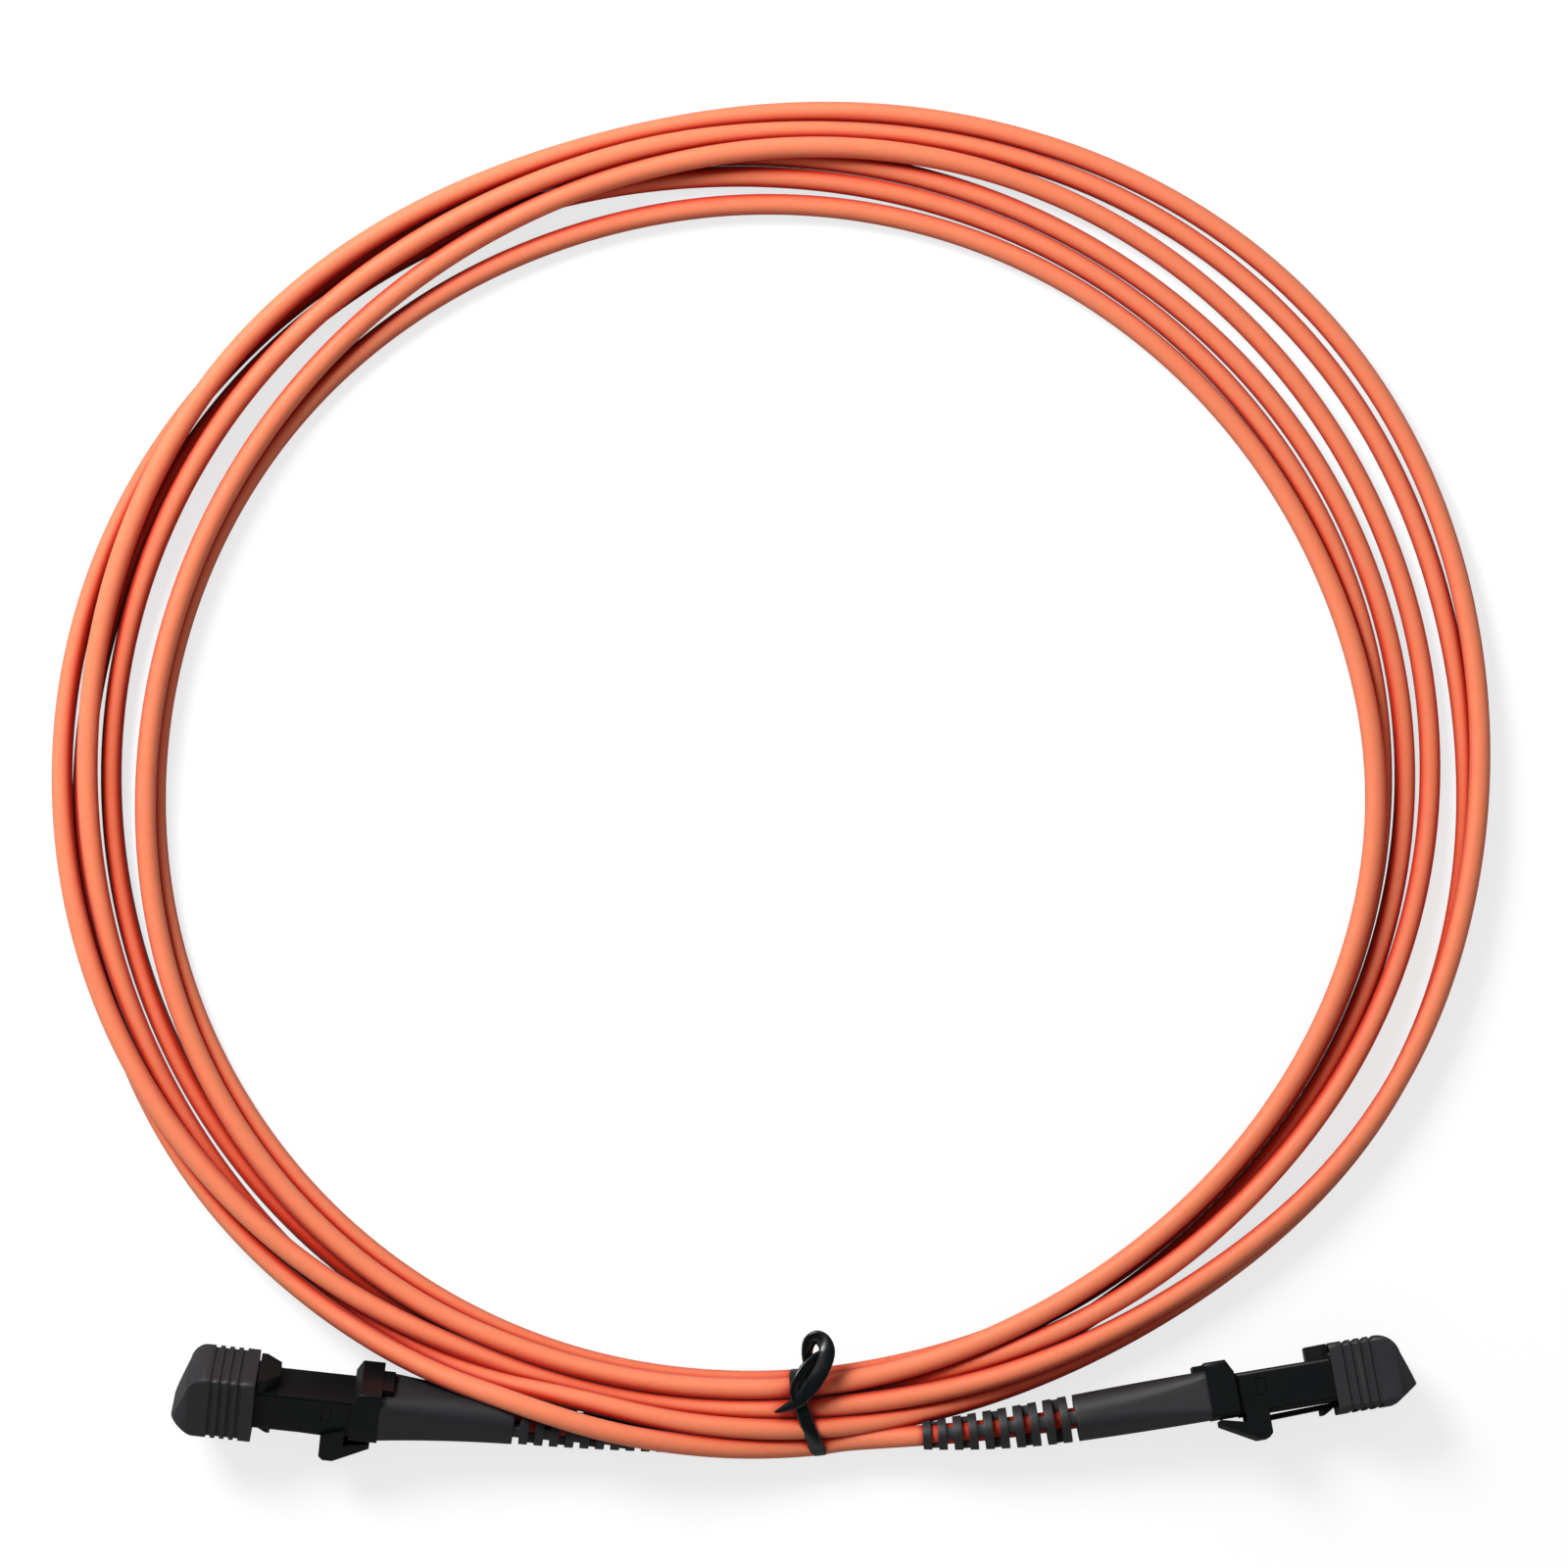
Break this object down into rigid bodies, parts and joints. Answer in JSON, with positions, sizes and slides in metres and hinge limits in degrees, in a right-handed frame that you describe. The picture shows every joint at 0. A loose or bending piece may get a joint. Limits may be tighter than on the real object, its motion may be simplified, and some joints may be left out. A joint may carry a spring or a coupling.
{
  "type": "fiber optic patch cord",
  "caption": "Coiled orange fiber patch cord with a latching plug, a ribbed bend boot and a ribbed dust cap at each end, held by a black twist tie.",
  "frame": {"origin": "on the surface the coil lies on, under the middle of the whole part's box", "axes": "+X to the right and +Y up as the picture shows the coil from above, +Z up from the surface; both plugs lie at the -Y side, one on each side of the middle"},
  "size_m": [0.2048, 0.1934, 0.0144],
  "materials": {
    "cable_jacket": "satin orange cable jacket",
    "plug_plastic": "glossy black moulding",
    "cap_plastic": "matte charcoal moulding",
    "boot_rubber": "matte charcoal elastomer",
    "tie_plastic": "satin black plastic strip",
    "ferrule_resin": "moulded dark resin",
    "soft_sleeve": "soft black",
    "keeper_steel": "pressed",
    "spring_steel": "drawn wire",
    "crimp_metal": "satin",
    "fibre_glass": "coated glass fibre"
  },
  "bodies": {
    "cord": {"cord_coil": "cable_jacket", "cord_tail_left": "cable_jacket", "cord_tail_right": "cable_jacket", "twist_tie": "tie_plastic", "plug_housing_left": "plug_plastic", "rear_body_left": "plug_plastic", "crimp_ring_left": "crimp_metal", "bend_boot_left": "boot_rubber", "ferrule_spring_left": "spring_steel", "plug_housing_right": "plug_plastic", "rear_body_right": "plug_plastic", "crimp_ring_right": "crimp_metal", "bend_boot_right": "boot_rubber", "ferrule_spring_right": "spring_steel"},
    "dust_cap_left": {"dust_cap_left": "cap_plastic"},
    "latch_arm_left": {"latch_arm_left": "plug_plastic"},
    "latch_trigger_left": {"latch_trigger_left": "plug_plastic"},
    "ferrule_left": {"ferrule_left": "ferrule_resin", "ferrule_sleeve_left": "soft_sleeve", "pin_keeper_left": "keeper_steel", "fibre_pair_left": "fibre_glass"},
    "dust_cap_right": {"dust_cap_right": "cap_plastic"},
    "latch_arm_right": {"latch_arm_right": "plug_plastic"},
    "latch_trigger_right": {"latch_trigger_right": "plug_plastic"},
    "ferrule_right": {"ferrule_right": "ferrule_resin", "ferrule_sleeve_right": "soft_sleeve", "pin_keeper_right": "keeper_steel", "fibre_pair_right": "fibre_glass"}
  },
  "joints": [
    {"name": "dust_cap_slide_left", "type": "slide", "parent": "cord", "child": "dust_cap_left", "axis": [-0.9918, 0.1148, 0.0558], "range_m": [0, 0.025]},
    {"name": "trigger_hinge_left", "type": "hinge", "parent": "cord", "child": "latch_trigger_left", "pos_m": [-0.05688, -0.09245, 0.0051], "axis": [0.0005, 0.4412, -0.8974], "range_deg": [0, 9.5], "stiffness_Nm_per_rad": 0.05},
    {"name": "arm_hinge_left", "type": "hinge", "parent": "cord", "child": "latch_arm_left", "pos_m": [-0.08116, -0.08812, 0.00722], "axis": [-0.0005, -0.4412, 0.8974], "range_deg": [0, 3.2], "stiffness_Nm_per_rad": 0.05},
    {"name": "ferrule_float_left", "type": "slide", "parent": "cord", "child": "ferrule_left", "axis": [0.9918, -0.1148, -0.0558], "range_m": [0, 0.0008], "stiffness_N_per_m": 500, "deforming": ["ferrule_spring_left"]},
    {"name": "dust_cap_slide_right", "type": "slide", "parent": "cord", "child": "dust_cap_right", "axis": [0.9863, 0.165, 0], "range_m": [0, 0.025]},
    {"name": "trigger_hinge_right", "type": "hinge", "parent": "cord", "child": "latch_trigger_right", "pos_m": [0.06381, -0.09151, 0.00632], "axis": [-0.0287, 0.1713, 0.9848], "range_deg": [0, 9.5], "stiffness_Nm_per_rad": 0.05},
    {"name": "arm_hinge_right", "type": "hinge", "parent": "cord", "child": "latch_arm_right", "pos_m": [0.08789, -0.08581, 0.00603], "axis": [0.0287, -0.1713, -0.9848], "range_deg": [0, 3.2], "stiffness_Nm_per_rad": 0.05},
    {"name": "ferrule_float_right", "type": "slide", "parent": "cord", "child": "ferrule_right", "axis": [-0.9863, -0.165, 0], "range_m": [0, 0.0008], "stiffness_N_per_m": 500, "deforming": ["ferrule_spring_right"]}
  ],
  "couplings": [
    {"joint": "trigger_hinge_left", "follows": "arm_hinge_left", "ratio": 2.8},
    {"joint": "trigger_hinge_right", "follows": "arm_hinge_right", "ratio": 2.8}
  ]
}
